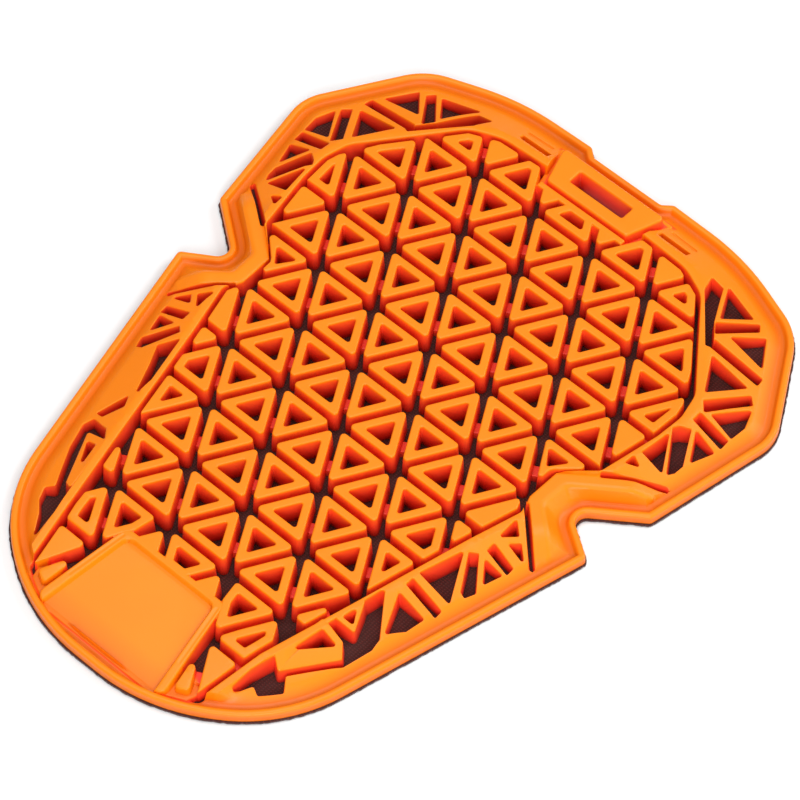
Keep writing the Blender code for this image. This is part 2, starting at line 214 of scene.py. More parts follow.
def cut(corners, arc=TOP_ARC):
    """An opening through the ring, with rounded top edges and drafted walls."""
    cuts.append((rounded(corners), arc))
    for share in ARC_STEPS:
        contours.append(divided(rounded(moved_in(corners, -arc * share)), 2.5))
    contours.append(divided(rounded(moved_in(corners, WALL_RUN)), 2.5))


cut(well)
contours.append(divided(rib_loop, 2.0))

# Ridges round the two side notches.
# Each is a smooth raised bank that stiffens the pad where it bends. It stands
# a little lower than the cells and fades into the gutter at both ends.
RIDGE_TOP = 6.6
RIDGE_END = 2.5
RIDGE_CROWN = 0.55
RIDGE_CROWN_WIDTH = 1.5
SLOT_BESIDE_RIDGE = 1.4
RIGHT_NOTCH = [
    (48.2, -12.7), (56.6, -5.7), (71.9, 5.3), (90.0, 6.0), (90.0, -44.0), (62.6, -37.2), (48.2, -23.4),
]
RIGHT_CREST = [
    (72.4, 1.0, 1.5, 3), (70.0, -1.3, 1.5, 3), (53.0, -14.0, 2.0, 4), (52.6, -21.6, 2.0, 4),
    (62.6, -29.8, 2.0, 4), (64.6, -34.0, 1.5, 3), (63.0, -38.0, 0.5, 2), (47.6, -23.4, 1.5, 4),
    (47.6, -12.4, 1.5, 4), (56.6, -5.2, 0.8, 3), (72.6, 5.6, 0.5, 2),
][::-1]
# Start, direction, and the lengths at which each arm starts and ends to fade
FRONT_ARM = (55.5, -8.0, 0.81, 0.586, 9.0, 19.5)
HEEL_ARM = (50.5, -25.0, 0.73, -0.683, 5.5, 16.0)
for side in (1, -1):
    for ends in (((56.8, -6.0), (70.4, 4.0)), ((48.9, -24.3), (61.6, -36.2))):
        (ax, ay), (bx, by) = ends
        run = hypot(bx - ax, by - ay)
        nx, ny = (ay - by) / run * SLOT_BESIDE_RIDGE / 2, (bx - ax) / run * SLOT_BESIDE_RIDGE / 2
        corners = [(ax - nx, ay - ny), (bx - nx, by - ny), (bx + nx, by + ny), (ax + nx, ay + ny)]
        if side < 0:
            corners = [(-x, y) for x, y in corners[::-1]]
        cut([(x, y, 0.6, 3) for x, y in corners], 0.35)
for inset in (4.6, 5.2, 5.8, 6.4, 7.0):
    contours.append(divided(rounded(moved_in(edge, inset)), 2.0))
right_crest = rounded(RIGHT_CREST)
for inset in (-1.6, -0.8, -0.25, 0.0, 0.25, 0.7, 1.2, RIDGE_CROWN_WIDTH):
    loop = divided(rounded(moved_in(RIGHT_CREST, inset)), 1.5)
    contours.append(loop)
    contours.append(loop[::-1] * (-1, 1))


def eased(share):
    share = np.clip(share, 0, 1)
    return share * share * (3 - 2 * share)


def ridge_top(points):
    """Height along the crest of a notch ridge."""
    fade = np.zeros(len(points))
    for x, y, ux, uy, start, end in (FRONT_ARM, HEEL_ARM):
        along = (points[:, 0] - x) * ux + (points[:, 1] - y) * uy
        fade = np.maximum(fade, eased((along - start) / (end - start)))
    return RIDGE_TOP + (RIDGE_END - RIDGE_TOP) * fade


# The ring rises steeply out of the gutter first, then gently up to the rib
BANK_WIDTH = 2.4
BANK_TOP = 3.95


def tray_height(points):
    """Height of the lip, gutter, ring and ridges before anything is cut."""
    inset = depth_inside(points, edge_loop)
    rim = np.interp(inset, *zip(*RIM_SECTION))
    past_foot = np.maximum(inset - FOOT_INSET, 0.0)
    past_rib = np.maximum(-depth_inside(points, rib_loop), 0.0)
    past_bank = np.maximum(past_foot - BANK_WIDTH, 0.0)
    bank = np.minimum(past_foot / BANK_WIDTH, 1.0) * (BANK_TOP - FOOT_TOP)
    narrow = np.minimum((past_foot + past_rib) / (1.6 * BANK_WIDTH), 1.0)
    rise = past_bank / np.maximum(past_bank + past_rib, 1e-6)
    even = past_foot / np.maximum(past_foot + past_rib, 1e-6)
    top = heel_top(points)
    ring = FOOT_TOP + bank + (top - FOOT_TOP - bank) * rise
    ring = np.where(narrow < 1, FOOT_TOP + (top - FOOT_TOP) * even, ring)
    mirrored = np.column_stack((np.abs(points[:, 0]), points[:, 1]))
    on_crest = depth_inside(mirrored, right_crest)
    crown = RIDGE_CROWN * (1 - np.clip(on_crest / RIDGE_CROWN_WIDTH, 0, 1)) ** 2
    crest = ridge_top(mirrored)
    share = past_foot / np.maximum(past_foot + np.maximum(-on_crest, 0.0), 1e-6)
    ridge = FOOT_TOP + (crest - crown - FOOT_TOP) * share
    by_notch = depth_inside(mirrored, np.array(RIGHT_NOTCH)) > 0
    return np.where(inset < FOOT_INSET, rim, np.where(by_notch, ridge, ring))


# Openings of the outer ring.
# Three-sided pockets and slanted slits go right through the ring, so that it
# bends and lets air through. The dark knit shows at the bottom of each one.
OPENINGS = [
    [(37.2, 59.2), (39.0, 54.0), (44.6, 47.6), (50.4, 40.9), (52.4, 41.8), (47.0, 48.4), (41.4, 58.6)],
    [(41.8, 60.3), (47.4, 50.1), (52.9, 57.0)],
    [(47.4, 48.4), (49.6, 45.4), (56.5, 54.9), (54.9, 57.0)],
    [(58.8, 54.8), (52.6, 47.7), (64.2, 46.8)],
    [(50.6, 44.2), (50.8, 41.4), (66.6, 42.0), (66.2, 44.6)],
    [(53.4, 40.0), (59.6, 29.8), (65.6, 39.6)],
    [(60.9, 27.9), (63.2, 25.4), (69.7, 36.6), (67.5, 38.6)],
    [(70.5, 35.4), (64.6, 26.3), (72.2, 25.4), (72.6, 30.0)],
    [(62.6, 24.8), (62.8, 21.7), (72.1, 21.4), (72.1, 24.5)],
    [(65.0, 20.4), (69.5, 12.8), (71.8, 19.6)],
    [(61.6, 17.8), (60.8, 16.4), (67.7, 6.2), (68.7, 8.2), (68.9, 11.0), (64.2, 19.6)],
    [(61.2, 14.8), (60.0, 5.6), (66.8, 5.6)],
    [(59.2, 3.6), (59.0, 0.2), (62.4, 2.5)],
    [(50.8, -29.8), (50.9, -36.6), (54.2, -32.6)],
    [(55.6, -33.4), (53.5, -36.0), (59.6, -36.8)],
    [(51.2, -38.3), (51.2, -41.0), (58.4, -41.8), (58.4, -39.4)],
    [(52.2, -42.8), (56.2, -48.0), (57.8, -42.6)],
    [(50.4, -43.0), (48.6, -44.6), (53.8, -53.2), (55.3, -53.6), (56.4, -50.6)],
]
RIGHT_OPENINGS = [
    [(47.6, -45.2), (44.0, -57.4), (54.0, -57.4)],
    [(43.9, -59.4), (43.9, -61.8), (53.8, -62.4), (53.8, -60.0)],
    [(44.0, -64.3), (48.5, -74.4), (51.4, -70.0), (52.4, -64.6)],
]
LEFT_OPENINGS = [
    [(-46.9, -46.0), (-50.6, -50.6), (-47.8, -56.0), (-43.2, -66.4), (-43.4, -60.0)],
    [(-44.6, -66.6), (-47.6, -75.2), (-45.4, -75.4), (-42.8, -70.2)],
]
# The long opening low in the ring, with its island, is wider on the right
RIGHT_LONG_OPENING = [
    (35.4, -95.0), (33.0, -104.0), (32.2, -112.4), (35.8, -106.2), (37.8, -107.0), (40.4, -104.0),
    (41.8, -102.2), (39.6, -99.2), (47.2, -87.4), (49.0, -79.4), (48.6, -76.2), (41.0, -66.0),
]
RIGHT_ISLAND = [(36.0, -82.4), (35.2, -92.0), (33.9, -97.2), (37.6, -99.8), (46.0, -86.4), (43.2, -83.2)]
RIGHT_ISLAND_HOLE = [(37.9, -84.6), (36.2, -94.2), (43.0, -85.0)]
RIGHT_CELL = [(39.4, -71.0), (37.0, -80.6), (43.6, -79.6), (40.8, -73.4)]
RIGHT_CELL_HOLE = [(39.9, -74.6), (39.0, -79.0), (42.2, -78.5)]
LEFT_LONG_OPENING = [
    (-41.5, -77.8), (-46.8, -76.8), (-47.9, -79.6), (-45.4, -86.5), (-41.0, -94.5), (-39.2, -97.6),
    (-41.4, -99.2), (-40.0, -102.5), (-37.0, -105.5), (-32.6, -112.4), (-33.2, -104.0),
    (-35.4, -95.0), (-38.9, -81.0),
]
LEFT_ISLAND = [(-38.4, -80.6), (-45.0, -80.8), (-37.6, -95.6), (-35.0, -96.6)]
LEFT_ISLAND_HOLE = [(-39.9, -82.9), (-42.9, -83.0), (-37.8, -91.4)]


def slit_corners(start, end, width):
    run = hypot(end[0] - start[0], end[1] - start[1])
    nx = (start[1] - end[1]) / run * width / 2
    ny = (end[0] - start[0]) / run * width / 2
    return [
        (start[0] - nx, start[1] - ny), (end[0] - nx, end[1] - ny),
        (end[0] + nx, end[1] + ny), (start[0] + nx, start[1] + ny),
    ]


mirrored_openings = [[(-x, y) for x, y in corners[::-1]] for corners in OPENINGS]
for corners in OPENINGS + mirrored_openings + RIGHT_OPENINGS + LEFT_OPENINGS:
    cut([(x, y, 0.4, 3) for x, y in corners], 0.35)
for corners in (RIGHT_LONG_OPENING, LEFT_LONG_OPENING):
    cut([(x, y, 0.6, 3) for x, y in corners], 0.35)

# Field of hollow triangular cells.
# Cells pointing to the front and to the heel take turns along each row. Each
# is a drafted, hollow post that crushes under a blow; those cut short by the
# edge of the field are smaller, and the smallest are solid.
CELL_PITCH = 19.0
CELL_GAP = 2.0
CELL_WALL = 2.2
CELL_CORNER = 1.0
HOLE_CORNER = 0.5
SMALLEST_CELL = 1.3
SMALLEST_HOLE = 0.85
ROW_HEIGHT = CELL_PITCH * sqrt(3) / 2
CELL_IN_RADIUS = CELL_PITCH * sqrt(3) / 6
forms = []


def clipped(polygon, px, py, nx, ny):
    """The side of a polygon that lies along a line's normal."""
    kept = []
    for (ax, ay), (bx, by) in zip(polygon, polygon[1:] + polygon[:1]):
        a = (ax - px) * nx + (ay - py) * ny
        b = (bx - px) * nx + (by - py) * ny
        if a >= 0:
            kept.append((ax, ay))
        if (a < 0 < b) or (b < 0 < a):
            share = a / (a - b)
            kept.append((ax + (bx - ax) * share, ay + (by - ay) * share))
    return [p for i, p in enumerate(kept) if hypot(p[0] - kept[i - 1][0], p[1] - kept[i - 1][1]) > 0.02]


def shrunk(polygon, inset):
    """A convex polygon with each edge moved inwards."""
    kept = polygon
    for (ax, ay), (bx, by) in zip(polygon, polygon[1:] + polygon[:1]):
        run = hypot(bx - ax, by - ay)
        nx, ny = -(by - ay) / run, (bx - ax) / run
        kept = clipped(kept, ax + nx * inset, ay + ny * inset, nx, ny)
        if len(kept) < 3:
            return []
    return kept


def raised(polygon, top, corner=CELL_CORNER, hole=None, arc=TOP_ARC, hole_corner=HOLE_CORNER):
    """A form that stands up from the knit, with an opening in it if it has one."""
    corners = [(x, y, corner, 4) for x, y in polygon]
    hole_corners = [(x, y, hole_corner, 3) for x, y in hole] if hole else None
    for share in ARC_STEPS:
        contours.append(rounded(moved_in(corners, arc * share)))
        if hole:
            contours.append(rounded(moved_in(hole_corners, -arc * share)))
    contours.append(rounded(moved_in(corners, -WALL_RUN)))
    if hole:
        contours.append(rounded(moved_in(hole_corners, WALL_RUN)))
    forms.append((rounded(corners), top, arc, rounded(hole_corners) if hole else None))


def near_edges(polygon, x, y, reach, bounds):
    """A cell's outline cut back to the edges of the field that pass near it."""
    for (ax, ay), (bx, by) in zip(bounds, bounds[1:] + bounds[:1]):
        run = hypot(bx - ax, by - ay)
        ux, uy = (bx - ax) / run, (by - ay) / run
        along = min(max((x - ax) * ux + (y - ay) * uy, 0.0), run)
        if hypot(x - ax - ux * along, y - ay - uy * along) < reach:
            polygon = clipped(polygon, ax, ay, -uy, ux)
            if len(polygon) < 3:
                return []
    return polygon


# Frame of the panel at the heel, which the cells keep clear of
PANEL = [(16.3, -95.3), (-16.3, -95.3), (-21.4, -122.6), (21.4, -122.6)]
PANEL_CHANNEL = 1.1
TAB_CLEARANCE = [(13.6, 52.1), (20.0, 59.4), (-20.0, 59.4), (-13.6, 52.1)]
# The cell in the crook of each notch bends round it
CROOK_PLACE = (5, -1)
CROOK_CELL = [(39.9, -6.6), (46.9, -18.4), (47.1, -13.6), (47.9, -12.4), (54.4, -6.6)]
CROOK_HOLE = [(42.4, -8.7), (45.8, -13.4), (49.4, -8.7)]


def clear_of(outline, shape, x, y, gap):
    """A cell's outline kept outside the edge of a shape that it most clears."""
    best = None
    for (ax, ay), (bx, by) in zip(shape, shape[1:] + shape[:1]):
        run = hypot(bx - ax, by - ay)
        nx, ny = (by - ay) / run, (ax - bx) / run
        clear = (x - ax) * nx + (y - ay) * ny
        if best is None or clear > best[0]:
            best = (clear, ax + nx * gap, ay + ny * gap, nx, ny)
    return clipped(outline, *best[1:])


bounds = [(x, y) for x, y, radius, steps in field]
out_radius = 2 * (CELL_IN_RADIUS - CELL_GAP / 2)
cells = {}
for row in range(-9, 5):
    for half_column in range(-7, 8):
        points_forward = (half_column + row) % 2 == 1
        x = half_column * CELL_PITCH / 2
        y = row * ROW_HEIGHT + (0.0 if points_forward else CELL_IN_RADIUS)
        first = pi / 2 if points_forward else -pi / 2
        outline = [(x + out_radius * cos(first + k * 2 * pi / 3),
                    y + out_radius * sin(first + k * 2 * pi / 3)) for k in range(3)]
        outline = near_edges(outline, x, y, out_radius, bounds)
        if len(outline) > 2:
            gap = PANEL_CHANNEL if abs(x) > 16 and y < -100 else -1.5
            outline = clear_of(outline, PANEL, x, y, gap)
        if len(outline) > 2 and y > 0:
            outline = clear_of(outline, TAB_CLEARANCE, x, y, 0.0)
        if len(outline) < 3 or len(shrunk(outline, SMALLEST_CELL)) < 3:
            continue
        middle = np.mean(outline, axis=0)
        if depth_inside(middle[None], np.array(bounds))[0] < 0:
            continue
        cells[(half_column, row)] = outline
        if (abs(half_column), row) == CROOK_PLACE:
            continue
        hole = shrunk(outline, CELL_WALL)
        if len(hole) < 3 or len(shrunk(hole, SMALLEST_HOLE)) < 3 or y < -108:
            hole = None
        raised(outline, heel_top, hole=hole)

raised(RIGHT_ISLAND, tray_height, 0.6, hole=RIGHT_ISLAND_HOLE, arc=0.35)
raised(RIGHT_CELL, tray_height, 0.5, hole=RIGHT_CELL_HOLE, arc=0.35)
raised(LEFT_ISLAND, tray_height, 0.6, hole=LEFT_ISLAND_HOLE, arc=0.35)
for side in (1, -1):
    raised([(side * x, y) for x, y in CROOK_CELL[::side]], heel_top,
           hole=[(side * x, y) for x, y in CROOK_HOLE[::side]])

# Low bars between neighbouring cells.
# Each bridges the gap at the middle of a shared side, near the knit, and
# keeps the posts standing together.
BAR_TOP = 2.7
BAR_WIDTH = 3.2
BAR_REACH = CELL_GAP / 2 + 0.6


def bar_top(points):
    return np.full(len(points), BAR_TOP)


for (half_column, row), outline in cells.items():
    if (half_column + row) % 2 == 0:
        continue
    x = half_column * CELL_PITCH / 2
    y = row * ROW_HEIGHT
    for step, rise, angle in ((1, 0, pi / 6), (-1, 0, 5 * pi / 6), (0, -1, -pi / 2)):
        if (half_column + step, row + rise) not in cells:
            continue
        ux, uy = cos(angle), sin(angle)
        mx, my = x + CELL_IN_RADIUS * ux, y + CELL_IN_RADIUS * uy
        bar = [(mx + ux * out - uy * across, my + uy * out + ux * across)
               for out, across in ((-BAR_REACH, -BAR_WIDTH / 2), (BAR_REACH, -BAR_WIDTH / 2),
                                   (BAR_REACH, BAR_WIDTH / 2), (-BAR_REACH, BAR_WIDTH / 2))]
        raised(bar, bar_top, 0.1, arc=0.3)

# Slotted tab at the front.
# A flat plate with a slot takes the garment's strap. It stands in a groove of
# its own, behind a dip in the outer edge.
TAB = [(13.4, 53.3), (17.2, 64.4), (-17.2, 64.4), (-13.4, 53.3)]
TAB_BAND = [(14.2, 50.4), (14.2, 52.1), (-14.2, 52.1), (-14.2, 50.4)]
TAB_SLOT = [(8.75, 57.0), (8.75, 61.2), (-8.75, 61.2), (-8.75, 57.0)]
TAB_GROOVE = [(14.6, 51.6), (18.6, 65.2), (-18.6, 65.2), (-14.6, 51.6)]
GROOVE_FLOOR = 4.4
BAR_PITS = [
    ((18.6, 60.3), (28.4, 60.3), 1.7, 3.0),
    ((20.2, 63.6), (28.6, 63.2), 1.0, 4.2),
]
cut([(x, y, 0.6, 4) for x, y in TAB_GROOVE], 0.3)


def floor_at(level):
    return lambda points: np.full(len(points), level)


groove_bed = [(15.4, 51.2), (19.0, 65.6), (-19.0, 65.6), (-15.4, 51.2)]
raised(groove_bed, floor_at(GROOVE_FLOOR), 0.5, hole=TAB_SLOT)
raised(TAB_BAND, heel_top, 0.3)
raised(TAB, heel_top, 1.2, hole=TAB_SLOT, arc=0.6)
for start, end, width, level in BAR_PITS:
    for side in (1, -1):
        corners = slit_corners(start, end, width)
        wider = slit_corners(start, end, width + 0.8)
        if side < 0:
            corners = [(-x, y) for x, y in corners[::-1]]
            wider = [(-x, y) for x, y in wider[::-1]]
        cut([(x, y, 0.4, 3) for x, y in corners], 0.3)
        raised(wider, floor_at(level), 0.4)

# Panel at the heel.
# A shallow sunk plate inside a low frame. The real one carries moulded
# lettering there; this one is left plain.
RECESS = [(14.4, -97.2), (-14.4, -97.2), (-19.2, -125.0), (19.2, -125.0)]
RECESS_DEPTH = 1.3
HEEL_SHELF = [
    (27.6, -114.0), (-27.6, -114.0), (-26.0, -119.0), (-17.0, -123.4), (17.0, -123.4), (26.0, -119.0),
]


def recess_top(points):
    return heel_top(points) - RECESS_DEPTH


raised(PANEL, heel_top, 2.2, hole=RECESS, arc=0.5, hole_corner=2.2)
raised([(15.6, -96.2), (-15.6, -96.2), (-20.4, -122.5), (20.4, -122.5)], recess_top, 1.0, arc=0.5)
raised(HEEL_SHELF, floor_at(FOOT_TOP), 0.6)

# The pad's skin, drawn through all of those contours.
# The contours are joined into triangles, each point gets its height, and the
# triangles that lie over an opening are left out.
verts = np.concatenate(contours)
firsts = np.cumsum([0] + [len(loop) for loop in contours])
lines = []
for first, loop in zip(firsts, contours):
    count = len(loop)
    lines += [(int(first + i), int(first + (i + 1) % count)) for i in range(count)]
grid = [(x, y) for x in np.arange(-82, 82, 2.6) for y in np.arange(-130, 75, 2.6)]
grid = np.array(grid) + 0.37
inset = depth_inside(grid, edge_loop)
keep = (inset > 4.5) & (depth_inside(grid, rounded(well)) < -0.6)
spare = np.full(len(grid), True)
for loop, arc in cuts[1:]:
    spare &= depth_inside(grid, loop) < -0.9
grid = grid[keep & spare]
everything = [Vector(p) for p in np.concatenate((verts, grid))]
flat, edges_out, faces, _, _, _ = delaunay_2d_cdt(everything, lines, [], 0, 1e-5, False)
flat = np.array([tuple(p) for p in flat])
faces = np.array([tuple(face) for face in faces])


def sunk(depth, arc, wall):
    """How far an edge's rounding and wall have dropped, by distance into the form."""
    inner = np.clip(depth, 0, arc)
    rounding = arc - np.sqrt(np.maximum(arc * arc - (arc - inner) ** 2, 0))
    return rounding + np.clip(-depth / WALL_RUN, 0, 1) * np.maximum(wall - arc, 0)


def near(points, loop, margin):
    low, high = loop.min(0) - margin, loop.max(0) + margin
    return np.flatnonzero(((points > low) & (points < high)).all(1))


def heights(points):
    """Height of each point, and how deep it lies in a cell or an opening."""
    base = tray_height(points)
    local = base.copy()
    drop = np.zeros(len(points))
    for loop, arc in cuts:
        at = near(points, loop, 1.0)
        drop[at] = np.maximum(drop[at], sunk(-depth_inside(points[at], loop), arc, base[at] - UNDERSIDE))
    height = np.maximum(base - drop, UNDERSIDE)
    for loop, top, arc, hole in forms:
        at = near(points, loop, WALL_RUN)
        level = top(points[at])
        fall = sunk(depth_inside(points[at], loop), arc, level - UNDERSIDE)
        if hole is not None:
            fall = np.maximum(fall, sunk(-depth_inside(points[at], hole), arc, level - UNDERSIDE))
        height[at] = np.maximum(height[at], level - fall)
        if top is not bar_top:
            here = depth_inside(points[at], loop) > -WALL_RUN - 0.01
            local[at[here]] = level[here]
    height = np.maximum(height, UNDERSIDE)
    depth = np.clip((local - height) / np.maximum(local - UNDERSIDE, 0.5), 0, 1)
    return height, depth, local


def solid_at(points):
    inset = depth_inside(points, edge_loop)
    solid = inset > -EDGE_DRAFT - 0.01
    for loop, arc in cuts:
        at = near(points, loop, 0.0)
        solid[at] &= depth_inside(points[at], loop) < WALL_RUN
    for loop, top, arc, hole in forms:
        at = near(points, loop, WALL_RUN)
        here = depth_inside(points[at], loop) > -WALL_RUN
        if hole is not None:
            here &= depth_inside(points[at], hole) < WALL_RUN
        solid[at] |= here
    return solid


kept = faces[solid_at(flat[faces].mean(1))]
z, wall_depth, local = heights(flat)
sides = np.sort(np.concatenate((kept[:, [0, 1]], kept[:, [1, 2]], kept[:, [2, 0]])), axis=1)
pairs, times = np.unique(sides, axis=0, return_counts=True)
border_pairs = pairs[times == 1]
border = np.unique(border_pairs)
z[border] = UNDERSIDE
wall_depth[border] = np.clip((local[border] - UNDERSIDE) / 3.0, 0, 1)

# The flat underside, glued to the knit, spans the same border
at_border = [Vector(p) for p in flat[border]]
border_lines = np.searchsorted(border, border_pairs).tolist()
under = delaunay_2d_cdt(at_border, border_lines, [], 0, 1e-6, True)
under_places = np.array([tuple(p) for p in under[0]])
under_faces = np.array([tuple(face) for face in under[2]])
under_faces = under_faces[solid_at(under_places[under_faces].mean(1))]
skin_point = border[np.array([source[0] for source in under[3]])]
under_faces = skin_point[under_faces][:, ::-1]
whole = np.concatenate((kept, under_faces))
# Where skin and underside share a triangle there is no rubber between them
triples, which, times = np.unique(np.sort(whole, axis=1), axis=0, return_inverse=True, return_counts=True)
whole = whole[times[which.ravel()] == 1]

mesh = bpy.data.meshes.new("moulded_skin")
places = np.column_stack((flat[:, 0], flat[:, 1] + ROW_FROM_MIDDLE, z)) * MM
mesh.from_pydata(places.tolist(), [], whole.tolist())
mesh.validate()
# How deep each point lies down a wall, which the rubber uses for its painted shade
depth_values = mesh.attributes.new("wall_depth", "FLOAT", "POINT")
depth_values.data.foreach_set("value", wall_depth)
work = bmesh.new()
work.from_mesh(mesh)
bmesh.ops.delete(work, geom=[v for v in work.verts if not v.link_faces], context="VERTS")
bmesh.ops.recalc_face_normals(work, faces=work.faces)
work.to_mesh(mesh)
work.free()
pad = bpy.data.objects.new("moulded_cells_and_rim", mesh)
bpy.context.scene.collection.objects.link(pad)
mesh.shade_smooth()
mesh.set_sharp_from_angle(angle=radians(38))
weighted = pad.modifiers.new("even_flats", "WEIGHTED_NORMAL")
weighted.keep_sharp = True
weighted.weight = 80


def wired(tree, kind, inputs, **settings):
    """A shader node with its settings, values and links."""
    made = tree.nodes.new(kind)
    for name, value in settings.items():
        setattr(made, name, value)
    for name, value in inputs.items():
        if isinstance(value, bpy.types.NodeSocket):
            tree.links.new(value, made.inputs[name])
        else:
            made.inputs[name].default_value = value
    return made


# Fine speckle and broad clouding, which both materials have at their own scale
speckled = bpy.data.node_groups.new("speckle_and_cloud", "ShaderNodeTree")
speckled.interface.new_socket("Speckle Scale", in_out="INPUT", socket_type="NodeSocketFloat")
speckled.interface.new_socket("Cloud Scale", in_out="INPUT", socket_type="NodeSocketFloat")
speckled.interface.new_socket("Speckle", in_out="OUTPUT", socket_type="NodeSocketFloat")
speckled.interface.new_socket("Cloud", in_out="OUTPUT", socket_type="NodeSocketFloat")
given = speckled.nodes.new("NodeGroupInput")
taken = speckled.nodes.new("NodeGroupOutput")
place = wired(speckled, "ShaderNodeTexCoord", {}).outputs["Object"]
fine = wired(speckled, "ShaderNodeTexNoise", {
    "Vector": place, "Scale": given.outputs["Speckle Scale"], "Detail": 3.0, "Roughness": 0.6})
broad = wired(speckled, "ShaderNodeTexNoise", {
    "Vector": place, "Scale": given.outputs["Cloud Scale"], "Detail": 2.0, "Roughness": 0.5})
speckled.links.new(fine.outputs["Fac"], taken.inputs["Speckle"])
speckled.links.new(broad.outputs["Fac"], taken.inputs["Cloud"])

# Moulded rubber: bright orange on its tops, with painted shade that darkens the low gutter and, deeper
# and redder, runs down the deep walls
TOP_ORANGE = (0.95, 0.228, 0.0006, 1.0)
GUTTER_SHADE_ORANGE = (0.74, 0.145, 0.0015, 1.0)
# Painted shade down the walls of cells and openings, darker and redder the deeper it goes
WALL_SHADE_COLOURS = (
    (0.0, (0.985, 0.2, 0.002, 1.0)),
    (0.14, (0.98, 0.105, 0.012, 1.0)),
    (0.45, (0.96, 0.064, 0.02, 1.0)),
    (0.8, (0.78, 0.036, 0.014, 1.0)),
    (1.0, (0.42, 0.018, 0.01, 1.0)),
)
rubber = bpy.data.materials.new("orange_rubber")
rubber.use_nodes = True
tree = rubber.node_tree
shader = tree.nodes["Principled BSDF"]
grain = wired(tree, "ShaderNodeGroup", {}, node_tree=speckled)
grain.inputs["Speckle Scale"].default_value = 2600.0
grain.inputs["Cloud Scale"].default_value = 45.0
speckle, cloud = grain.outputs["Speckle"], grain.outputs["Cloud"]
place = wired(tree, "ShaderNodeTexCoord", {}).outputs["Object"]
upright = wired(tree, "ShaderNodeSeparateXYZ", {"Vector": place}).outputs["Z"]
# Painted shade: below the lip the gutter is painted a darker orange than the tops
above_gutter = wired(tree, "ShaderNodeMapRange", {
    "Value": upright, "From Min": GUTTER_TOP * MM, "From Max": LIP_TOP * MM}).outputs["Result"]
top_colour = wired(tree, "ShaderNodeMix", {
    0: above_gutter, 6: GUTTER_SHADE_ORANGE, 7: TOP_ORANGE}, data_type="RGBA").outputs[2]
# How far a point lies down a wall sets how much painted shade it gets
down_wall = wired(tree, "ShaderNodeAttribute", {}, attribute_name="wall_depth").outputs["Fac"]
uneven = wired(tree, "ShaderNodeMath", {0: cloud, 1: 0.16, 2: -0.08}, operation="MULTIPLY_ADD").outputs[0]
uneven_wall = wired(tree, "ShaderNodeMath", {0: down_wall, 1: uneven}, operation="ADD").outputs[0]
ramp = wired(tree, "ShaderNodeValToRGB", {"Fac": uneven_wall})
stops = ramp.color_ramp.elements
stops[0].position, stops[0].color = WALL_SHADE_COLOURS[0]
stops[1].position, stops[1].color = WALL_SHADE_COLOURS[-1]
for position, colour in WALL_SHADE_COLOURS[1:-1]:
    stops.new(position).color = colour
on_wall = wired(tree, "ShaderNodeMapRange", {
    "Value": down_wall, "From Min": 0.015, "From Max": 0.11}).outputs["Result"]
colour = wired(tree, "ShaderNodeMix", {
    0: on_wall, 6: top_colour, 7: ramp.outputs["Color"]}, data_type="RGBA").outputs[2]
shade = wired(tree, "ShaderNodeMapRange", {
    "Value": cloud, "From Min": 0.3, "From Max": 0.7, "To Min": 0.93, "To Max": 1.0}).outputs["Result"]
mottled = wired(tree, "ShaderNodeVectorMath", {0: colour, "Scale": shade}, operation="SCALE").outputs[0]
tree.links.new(mottled, shader.inputs["Base Color"])
gloss = wired(tree, "ShaderNodeMapRange", {
    "Value": speckle, "From Min": 0.3, "From Max": 0.7, "To Min": 0.33, "To Max": 0.47}).outputs["Result"]
tree.links.new(gloss, shader.inputs["Roughness"])
bumps = wired(tree, "ShaderNodeBump", {"Height": speckle, "Distance": 0.00003, "Strength": 0.3})
tree.links.new(bumps.outputs["Normal"], shader.inputs["Normal"])
shader.inputs["Specular IOR Level"].default_value = 0.3
mesh.materials.append(rubber)
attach(pad, "root")
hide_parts("moulded_pad")

# Knit backing.
# A thin dark polyester knit, cut to the pad's outline and bonded under it.
# Its edge stands a hair proud all round and is a little fuzzy where it was cut.
KNIT_THICKNESS = 0.8
KNIT_PROUD = 0.45
KNIT_ROUNDING = 0.12
FUZZ = 0.1
LOOP_PITCH = 0.9
WAVE_PER_METRE = 2 * pi / 20
rng = np.random.default_rng(7)
cut_edge = divided(rounded(moved_in(edge, -KNIT_PROUD)), 0.7)
cut_edge = cut_edge + rng.uniform(-FUZZ, FUZZ, cut_edge.shape)
slot_edge = rounded([(x, y, 0.6, 4) for x, y in TAB_SLOT])


outline = bpy.data.curves.new("knit_outline", "CURVE")
outline.dimensions = "2D"
outline.fill_mode = "BOTH"
outline.extrude = (KNIT_THICKNESS / 2 - KNIT_ROUNDING) * MM
outline.bevel_depth = KNIT_ROUNDING * MM
outline.bevel_resolution = 1
outline.offset = -KNIT_ROUNDING * MM
for loop in (cut_edge, slot_edge):
    spline = outline.splines.new("POLY")
    spline.points.add(len(loop) - 1)
    for point, (x, y) in zip(spline.points, loop):
        point.co = (x * MM, (y + ROW_FROM_MIDDLE) * MM, 0.0, 1.0)
    spline.use_cyclic_u = True
drawn = bpy.data.objects.new("knit_outline", outline)
bpy.context.scene.collection.objects.link(drawn)
bpy.context.view_layer.update()
cloth = bpy.data.meshes.new_from_object(drawn.evaluated_get(bpy.context.evaluated_depsgraph_get()))
bpy.data.objects.remove(drawn)
work = bmesh.new()
work.from_mesh(cloth)
bmesh.ops.remove_doubles(work, verts=work.verts, dist=0.002 * MM)
bmesh.ops.translate(work, verts=work.verts, vec=(0.0, 0.0, KNIT_THICKNESS / 2 * MM))
bmesh.ops.recalc_face_normals(work, faces=work.faces)
work.to_mesh(cloth)
work.free()
backing = bpy.data.objects.new("knit_backing", cloth)
bpy.context.scene.collection.objects.link(backing)
